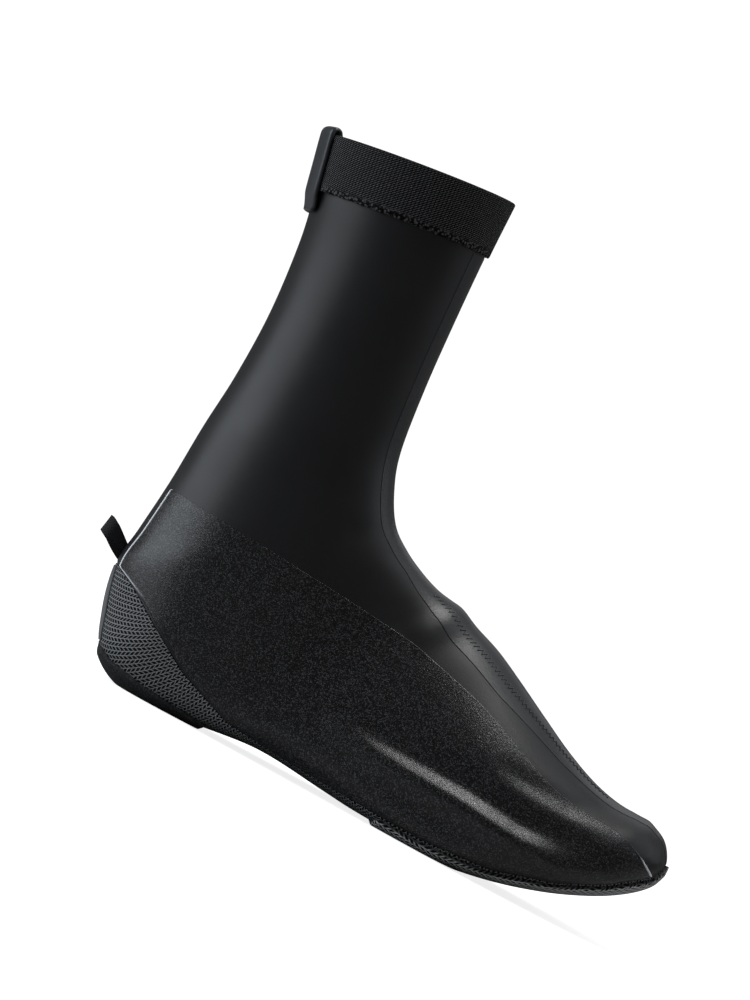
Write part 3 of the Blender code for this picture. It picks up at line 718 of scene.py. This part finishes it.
# The front tape: a strip of thin satin film bonded over the seam down the front, from under the cuff to the
# toe, off the ridge of the foot. It is crinkled on the leg. Over the instep a seam runs down its middle.
TAPE_HALF_WIDTH = 9.5 * MM
TAPE_FACE = 0.2 * MM
TAPE_TOP, TAPE_FOOT = CUFF_FOOT + 0.04, UPPER_TOE - 0.2
TAPE_STEPS, TAPE_COLUMNS = 260, 37
TapeRow = namedtuple("TapeRow", "t shift crinkle")
TAPE_ROWS = [
    TapeRow(1, 11 * MM, 0.2),
    TapeRow(2.4, 10.65 * MM, 0.3),
    TapeRow(3.4, 10.4 * MM, 1.0),
    TapeRow(5, 10 * MM, 1.0),
    TapeRow(8, 8 * MM, 0.3),
    TapeRow(10, 11 * MM, 0.2),
    TapeRow(12, 15.5 * MM, 0.2),
    TapeRow(14, 17.5 * MM, 0.2),
    TapeRow(16, 16 * MM, 0.2),
    TapeRow(18, 11 * MM, 0.0),
    TapeRow(20, 5 * MM, 0.0),
    TapeRow(22, 0, 0.0),
]

tape, tree, shader, coords = new_finish("seam_tape", (0.011, 0.0115, 0.013), 0.38)
tape_grain = add_grain(tree, coords.outputs["Object"], 1200.0)
tint(tree, shader, tape_grain["Tone"], dark=(0.010, 0.0105, 0.012), light=(0.014, 0.015, 0.017))
wrinkles = noise_node(tree, coords.outputs["Object"], 300.0, Detail=4.0, Roughness=0.6, Distortion=1.2)
crinkled = sum_node(tree, "MULTIPLY", mark_node(tree, "crinkle"), 5.0)
add_bump(tree, shader, sum_node(tree, "MULTIPLY_ADD", wrinkles, crinkled, tape_grain["Height"]), 0.05 * MM)


def tape_row(t):
    """The tape's shift towards the outer side and its crinkle, at a place down the front."""
    places, *columns = np.array(TAPE_ROWS).T
    return TapeRow(t, *(np.interp(t, places, column) for column in columns))


points, crinkles = [], []
for t in np.linspace(TAPE_TOP, TAPE_FOOT, TAPE_STEPS):
    edge, row = sole_share(t, -SEAM_MARGIN), tape_row(t)
    sides = np.array([-row.shift - TAPE_HALF_WIDTH, -row.shift + TAPE_HALF_WIDTH]) / half_girth(t)
    q = edged_shares(t, *np.clip(sides, -edge, edge), TAPE_COLUMNS)
    points.append(skin(t, q, TAPE_FACE * round_edge(edge_distance(t, q), FILM_ROUND)))
    crinkles.append(np.full(TAPE_COLUMNS, row.crinkle))
front_tape = grid_piece("front_tape_strip", np.array(points), crinkle=np.array(crinkles))
give_wall(front_tape, GAP)
fit_piece(front_tape, tape, "tape", "front_tape")

# The zigzag seam: a row of stretch stitches in grey thread down the middle of the tape, over the ankle and
# the instep. The thread is sewn through the cloth and lies half sunk in the tape.
SEAM_TOP, SEAM_FOOT = 9.4, 17.4
STITCH_PITCH = 1.2 * MM
STITCH_HALF = 1.6 * MM
THREAD_RADIUS = 0.35 * MM
STITCH_LIFT = TAPE_FACE + 0.3 * THREAD_RADIUS
SEAM_STEPS = 400


def run_along(path):
    """How far along a path each of its points lies."""
    return np.concatenate([[0], np.cumsum(np.linalg.norm(np.diff(path, axis=0), axis=1))])


def thread_piece(name, path, radius):
    """A round thread through points, as a mesh."""
    curve = bpy.data.curves.new(name, "CURVE")
    curve.dimensions = "3D"
    curve.bevel_depth = radius
    curve.bevel_resolution = 1
    curve.use_fill_caps = True
    spline = curve.splines.new("POLY")
    spline.points.add(len(path) - 1)
    spline.points.foreach_set("co", np.column_stack([path, np.ones(len(path))]).ravel())
    bpy.ops.object.select_all(action="DESELECT")
    piece = bpy.data.objects.new(name, curve)
    bpy.context.collection.objects.link(piece)
    bpy.context.view_layer.objects.active = piece
    piece.select_set(True)
    bpy.ops.object.convert(target="MESH")
    bpy.ops.object.shade_smooth()
    return bpy.context.object


seam_thread, tree, shader, coords = new_finish("seam_thread", (0.025, 0.026, 0.028), 0.5)
twist = add_grain(tree, coords.outputs["Object"], 3000.0)
tint(tree, shader, twist["Height"], dark=(0.060, 0.062, 0.066), light=(0.130, 0.133, 0.140))

steps = np.linspace(SEAM_TOP, SEAM_FOOT, SEAM_STEPS)
middle = np.array([place(t, np.array([-tape_row(t).shift / half_girth(t)]))[0] for t in steps])
run = run_along(middle)
turns = np.interp(np.arange(0, run[-1], STITCH_PITCH), run, steps)
stitches = []
for number, t in enumerate(turns):
    beside = -tape_row(t).shift + STITCH_HALF * (-1) ** number
    stitches.append(skin(t, [beside / half_girth(t)], STITCH_LIFT)[0])
seam = thread_piece("zigzag_seam", np.array(stitches), THREAD_RADIUS)
fit_piece(seam, seam_thread, "tape")

# The heel reflector: a tapered strip of grey reflective film up the back of the heel, bonded over the sole's
# mesh below the pull loop. It has dark edges, a low ridge down its middle and a darker line on each side.
REFLECTOR_TOP, REFLECTOR_FOOT = 8.08, 9.66
REFLECTOR_FACE = 0.5 * MM
REFLECTOR_HALF_TOP = 9.5 * MM
REFLECTOR_HALF_FOOT = 15 * MM
REFLECTOR_ROUND = 0.5 * MM
REFLECTOR_RIDGE, RIDGE_HALF = 0.7 * MM, 2.5 * MM
REFLECTOR_LINE, LINE_HALF, LINE_DEPTH = 0.62, 0.5 * MM, 0.6
REFLECTOR_ROWS, REFLECTOR_COLUMNS = 50, 91

reflective, tree, shader, coords = new_finish("reflective_strip", (0.065, 0.070, 0.076), 0.42)
beads = add_grain(tree, coords.outputs["Object"], 3000.0)
sheen = ramp_node(tree, beads["Tone"], 0.3, 0.7, 0.6, 1.0)
tone = sum_node(tree, "MULTIPLY", mark_node(tree, "inside"), sheen)
tint(tree, shader, tone, dark=(0.010, 0.010, 0.011), light=(0.105, 0.113, 0.122))
add_bump(tree, shader, beads["Height"], 0.06 * MM)

points, insides = [], []
for t in np.linspace(REFLECTOR_TOP, REFLECTOR_FOOT, REFLECTOR_ROWS):
    down = (t - REFLECTOR_TOP) / (REFLECTOR_FOOT - REFLECTOR_TOP)
    half = REFLECTOR_HALF_TOP + (REFLECTOR_HALF_FOOT - REFLECTOR_HALF_TOP) * down
    girth = half_girth(t)
    q = edged_shares(t, 1 - half / girth, 1 + half / girth, REFLECTOR_COLUMNS)
    beside, off_middle = edge_distance(t, q), np.abs(q - 1) * girth
    ridge = REFLECTOR_RIDGE * math.sin(math.pi * down) * np.exp(-((off_middle / RIDGE_HALF) ** 2))
    line = np.exp(-(((off_middle - REFLECTOR_LINE * half) / LINE_HALF) ** 2))
    points.append(skin(t, q, REFLECTOR_FACE * round_edge(beside, REFLECTOR_ROUND) + ridge))
    insides.append(np.clip(beside / REFLECTOR_ROUND - 1, 0, 1) * (1 - LINE_DEPTH * line))
reflector = grid_piece("heel_reflector_strip", np.array(points), inside=np.array(insides))
give_wall(reflector, GAP)
fit_piece(reflector, reflective, "reflective", "heel_reflector")

# The cuff: a band of black elastic, woven in a fine steep twill, round the top of the sock. It is sewn over
# the upper's end, with a soft folded rim and a fuzzy lower edge.
CUFF_WALL = 1.6 * MM
CUFF_ROUND = 0.8 * MM
CUFF_COLUMNS = 241
FUZZ_TOP, FUZZ_BLEND = 0.87, 0.04
RAGGED_TOP, RAGGED_DEPTH = 0.9, 0.012

elastic, tree, shader, coords = new_finish(
    "twill_elastic", (0.012, 0.012, 0.013), 0.80, Specular_IOR_Level=0.1
)
twill = add_weave(tree, coords.outputs["UV"], Along=1.6, Across=1.2, Slant=1.0, Alternate=0.0, Gap=0.68)
yarn = add_grain(tree, coords.outputs["Object"], 2600.0)
fuzz = add_node(tree, "ShaderNodeTexVoronoi", {"Vector": coords.outputs["Object"], "Scale": 750.0})
curls = ramp_node(tree, fuzz.outputs["Distance"], 0.25, 0.6, 0.45, 0.0)
hem = mark_node(tree, "hem")
steep_ribs = sum_node(tree, "POWER", twill["Height"], 4.0)
woven = sum_node(tree, "MULTIPLY", steep_ribs, sum_node(tree, "SUBTRACT", 1.0, hem))
band = sum_node(tree, "MULTIPLY_ADD", curls, hem, woven)
tone = sum_node(tree, "MULTIPLY", band, ramp_node(tree, yarn["Height"], 0.3, 0.7, 0.5, 1.0))
tint(tree, shader, tone, dark=(0.0, 0.0, 0.0), light=(0.250, 0.250, 0.260))
add_bump(tree, shader, sum_node(tree, "MULTIPLY_ADD", yarn["Height"], 0.3, band), 0.4 * MM)

cuff_height = np.linalg.norm(place(CUFF_FOOT, np.array([0.5])) - place(RIM, np.array([0.5])))
half_turn = np.linspace(0, math.pi, 9)
arc_t = CUFF_ROUND * np.sin(half_turn) / cuff_height
arc_lift = GAP + CUFF_ROUND - CUFF_ROUND * np.cos(half_turn)
top_t = CUFF_ROUND / cuff_height
foot_t = CUFF_FOOT - top_t
wall_t = np.linspace(top_t, foot_t, 26)
inner = np.full(len(wall_t), GAP)
profile_t = np.concatenate([wall_t[::-1], top_t - arc_t[1:-1], wall_t, foot_t + arc_t[1:-1], wall_t[-1:]])
profile_lift = np.concatenate([inner, arc_lift[1:-1], inner + CUFF_WALL, arc_lift[-2:0:-1], inner[-1:]])
along = np.cumsum(np.hypot(np.gradient(profile_t) * cuff_height, np.gradient(profile_lift)))
q = np.linspace(-1, 1, CUFF_COLUMNS)
fringe = RAGGED_DEPTH * np.sin(q * 151) * np.sin(q * 67 + 1.3)
below = 0.05
points, maps, edge_bands = [], [], []
for t, lift, length in zip(profile_t, profile_lift, along):
    hang = fringe * np.clip((t - RAGGED_TOP) / (CUFF_FOOT - RAGGED_TOP), 0, 1)
    ring = skin(t, q, np.full(len(q), lift))
    lower = skin(t + below, q, np.full(len(q), lift))
    points.append(ring + (lower - ring) * hang[:, None] / below)
    maps.append(np.stack([q * half_girth(RIM), np.full(len(q), length)], axis=-1))
    edge_bands.append(np.full(len(q), np.clip((t - FUZZ_TOP) / FUZZ_BLEND, 0, 1)))
cuff = grid_piece("cuff_band", np.array(points), np.array(maps), hem=np.array(edge_bands))
bpy.ops.object.shade_smooth()
fit_piece(cuff, elastic, "elastic", "cuff")

# The closure tab: a thick tab of smooth moulded rubber, folded over the cuff's rim at the back, to pull the
# sock up by and to cover the band's join. It is bonded to the band, and its free end hangs below the cuff.
TAB_WALL = 2.4 * MM
TAB_OUTSIDE = CUFF_WALL + 1.5 * GAP
TAB_INSIDE = -GAP
TAB_HANG = 2 * GAP
TAB_STEPS = 81
TabRow = namedtuple("TabRow", "t lift half")
TAB_ROWS = [
    TabRow(1.43, TAB_HANG, 12.0 * MM),
    TabRow(1.40, TAB_HANG, 15.5 * MM),
    TabRow(1.33, TAB_HANG, 17.3 * MM),
    TabRow(1.18, TAB_HANG + 2 * GAP, 17.8 * MM),
    TabRow(1.04, TAB_OUTSIDE, 18.0 * MM),
    TabRow(0.50, TAB_OUTSIDE, 18.3 * MM),
    TabRow(0.00, TAB_OUTSIDE, 18.3 * MM),
    TabRow(-0.03, TAB_OUTSIDE * 0.8, 18.1 * MM),
    TabRow(-0.04, TAB_OUTSIDE * 0.5, 17.8 * MM),
    TabRow(-0.03, TAB_OUTSIDE * 0.1, 17.5 * MM),
    TabRow(0.00, TAB_INSIDE, 17.2 * MM),
    TabRow(0.50, TAB_INSIDE, 16.5 * MM),
]

moulded, tree, shader, coords = new_finish("moulded_tab", (0.024, 0.026, 0.030), 0.40)
skin_grain = add_grain(tree, coords.outputs["Object"], 1600.0)
tint(tree, shader, skin_grain["Tone"], dark=(0.020, 0.022, 0.025), light=(0.029, 0.031, 0.036))
tree.links.new(ramp_node(tree, skin_grain["Tone"], 0.3, 0.7, 0.36, 0.46), shader.inputs["Roughness"])
add_bump(tree, shader, skin_grain["Height"], 0.04 * MM)


def fine_path(rows, count, rounds):
    """More points along a path, with its corners rounded."""
    steps = np.linspace(0, len(rows) - 1, count)
    columns = [np.interp(steps, range(len(rows)), column) for column in np.array(rows).T]
    return smooth_path(np.column_stack(columns), rounds)


# The tab's path round the rim, in lengths down the leg and off the last, with its wall on the outside.
tab_path = fine_path(TAB_ROWS, TAB_STEPS, 6)
down_leg, lift = tab_path[:, 0] * cuff_height, tab_path[:, 1]
slope_down, slope_lift = np.gradient(down_leg), np.gradient(lift)
slope = np.hypot(slope_down, slope_lift)
off_down, off_lift = slope_lift / slope, -slope_down / slope
run = run_along(np.column_stack([down_leg, lift]))
walls = TAB_WALL * round_edge(np.minimum(run, run[-1] - run) + WELD, TAB_WALL / 2)
round_side = np.linspace(-0.5 * math.pi, 0.5 * math.pi, 9)
points = []
near = 0.02
for i, (t, level, half) in enumerate(tab_path):
    radius = walls[i] / 2
    flat = np.linspace(-1, 1, 13) * (half - TAB_WALL / 2)
    sides = flat[-1] + radius * np.cos(round_side)
    across = np.concatenate([flat, sides[1:-1], flat[::-1], -sides[1:-1], flat[:1]])
    lifted = radius * (1 + np.sin(round_side))
    off = np.concatenate([0 * flat, lifted[1:-1], 0 * flat + walls[i], lifted[-2:0:-1], [0]])
    off += (TAB_WALL - walls[i]) / 2
    q = 1 + across / half_girth(t)
    ring = skin(t, q, level)
    down_one = (skin(t + near, q, level) - ring) / (near * cuff_height)
    out_one = (skin(t, q, level + MM) - ring) / MM
    points.append(ring + (down_one * off_down[i] + out_one * off_lift[i]) * off[:, None])
tab = grid_piece("closure_tab_band", np.array(points))
bpy.ops.object.shade_smooth()
fit_piece(tab, moulded, "moulded", "closure_tab")

# The pull loop: a short length of black ribbed webbing, folded on itself and sewn into the back of the heel,
# to draw the overshoe on over the shoe.
LOOP_TOP, LOOP_FOOT = 7.46, 7.94
LOOP_REACH = 9.0 * MM
LOOP_ROOT = 0.8 * MM
LOOP_RADIUS = 3.4 * MM
LOOP_RISE = 0.03 / MM
LOOP_WALL = 1.3 * MM
LOOP_STEPS, LOOP_ROWS = 61, 13
LOOP_ROW_MAP = 20 * MM

webbing, tree, shader, coords = new_finish(
    "loop_webbing", (0.010, 0.010, 0.011), 0.75, Specular_IOR_Level=0.25
)
loop_weave = add_weave(tree, coords.outputs["UV"], Along=0.9, Across=1.1, Slant=0.5, Alternate=1.0, Gap=0.4)
tint(tree, shader, loop_weave["Thread"], dark=(0.003, 0.003, 0.003), light=(0.020, 0.020, 0.022))
add_bump(tree, shader, loop_weave["Height"], 0.3 * MM)

leg = [(GAP, LOOP_ROOT), (LOOP_REACH * 0.5, LOOP_RADIUS * 0.7), (LOOP_REACH, LOOP_RADIUS)]
fold = [(LOOP_REACH + LOOP_RADIUS * math.sin(a), LOOP_RADIUS * math.cos(a)) for a in half_turn[1:-1]]
bends = leg + fold + [(out, -across) for out, across in reversed(leg)]
loop_path = fine_path(bends, LOOP_STEPS, 4)
heights = np.linspace(LOOP_TOP, LOOP_FOOT, LOOP_ROWS)
points = []
for out, across in loop_path:
    risen = heights - LOOP_RISE * out
    points.append([skin(t, [1 + across / half_girth(t)], out)[0] for t in risen])
maps = [[(length, LOOP_ROW_MAP * t) for t in heights] for length in run_along(loop_path)]
loop = grid_piece("pull_loop_webbing", np.array(points), np.array(maps))
apply_modifier(loop, "SOLIDIFY", thickness=LOOP_WALL, offset=1)
bpy.ops.object.shade_smooth_by_angle(angle=CRISP_ANGLE)
fit_piece(loop, webbing, "webbing", "pull_loop")

# The studio: a white floor that runs into a white ground, soft boxes of light behind the heel, over the
# foot, in front and at the inner side, and a level camera at the outer side. The camera is rolled, because
# the photograph shows the heel high.
AIM = Vector((0.047, 0.0, 0.128))
DISTANCE = 3.0
ROLL = math.radians(28.5)
VIEW_HEIGHT = 0.45
SENSOR_WIDTH = 36.0

bpy.ops.object.select_all(action="DESELECT")
bpy.ops.mesh.primitive_plane_add(size=14, location=(0, 0, 0))
floor = bpy.context.object
floor.name = "studio_floor"
paper, tree, shader, coords = new_finish("white_paper", (0.80, 0.80, 0.80), 0.9)
sight = tree.nodes.new("ShaderNodeLightPath")
from_middle = {0: coords.outputs["Object"]}
far = add_node(tree, "ShaderNodeVectorMath", from_middle, operation="LENGTH").outputs["Value"]
glow = add_node(tree, "ShaderNodeEmission", {"Strength": ramp_node(tree, far, 0.25, 1.2, 0.82, 1.0)})
bright = add_node(tree, "ShaderNodeAddShader", {0: shader.outputs["BSDF"], 1: glow.outputs["Emission"]})
dull = add_node(tree, "ShaderNodeBsdfDiffuse", {"Color": (0.5, 0.5, 0.5, 1)})
choice = {0: sight.outputs["Is Camera Ray"], 1: dull.outputs["BSDF"], 2: bright.outputs["Shader"]}
seen = add_node(tree, "ShaderNodeMixShader", choice)
tree.links.new(seen.outputs["Shader"], tree.nodes["Material Output"].inputs["Surface"])
floor.data.materials.append(paper)

world = bpy.data.worlds.new("white_ground")
bpy.context.scene.world = world
world.use_nodes = True
tree = world.node_tree
sight = tree.nodes.new("ShaderNodeLightPath")
tree.nodes["Background"].inputs["Color"].default_value = (1, 1, 1, 1)
strength = ramp_node(tree, sight.outputs["Is Camera Ray"], 0.0, 1.0, 0.115, 1.05)
tree.links.new(strength, tree.nodes["Background"].inputs["Strength"])

SoftBox = namedtuple("SoftBox", "name place aim width height watts colour")
SOFT_BOXES = [
    SoftBox("box_behind_heel", (-1.3, -0.3, 0.5), (0.0, 0.0, 0.17), 1.5, 1.1, 17.0, (0.88, 0.94, 1.0)),
    SoftBox("box_over_foot", (0.22, 0.03, 1.25), (0.14, -0.05, 0.03), 0.48, 0.24, 5.2, (1.0, 1.0, 1.0)),
    SoftBox("box_in_front", (0.9, 0.25, 0.9), (0.10, 0.0, 0.10), 0.8, 1.2, 2.0, (0.90, 0.95, 1.0)),
    SoftBox("box_inner_side", (0.1, 1.3, 1.0), (0.05, 0.0, 0.10), 1.2, 1.0, 2.0, (0.95, 0.97, 1.0)),
]
for box in SOFT_BOXES:
    bpy.ops.object.light_add(type="AREA", location=box.place)
    lamp = bpy.context.object
    lamp.name = box.name
    lamp.rotation_euler = (Vector(box.aim) - Vector(box.place)).to_track_quat("-Z", "Y").to_euler()
    lamp.data.shape = "RECTANGLE"
    lamp.data.size, lamp.data.size_y = box.width, box.height
    lamp.data.energy = box.watts
    lamp.data.color = box.colour
    lamp.visible_camera = False

bpy.ops.object.camera_add(location=AIM + Vector((0, -DISTANCE, 0)))
camera = bpy.context.object
camera.name = "side_camera"
camera.rotation_mode = "QUATERNION"
camera.rotation_quaternion = Vector((0, 1, 0)).to_track_quat("-Z", "Y") @ Quaternion((0, 0, 1), ROLL)
camera.data.sensor_width = SENSOR_WIDTH
camera.data.lens = SENSOR_WIDTH * DISTANCE / VIEW_HEIGHT
camera.data.clip_end = 50
bpy.context.scene.camera = camera
bpy.context.scene.view_settings.view_transform = "Standard"
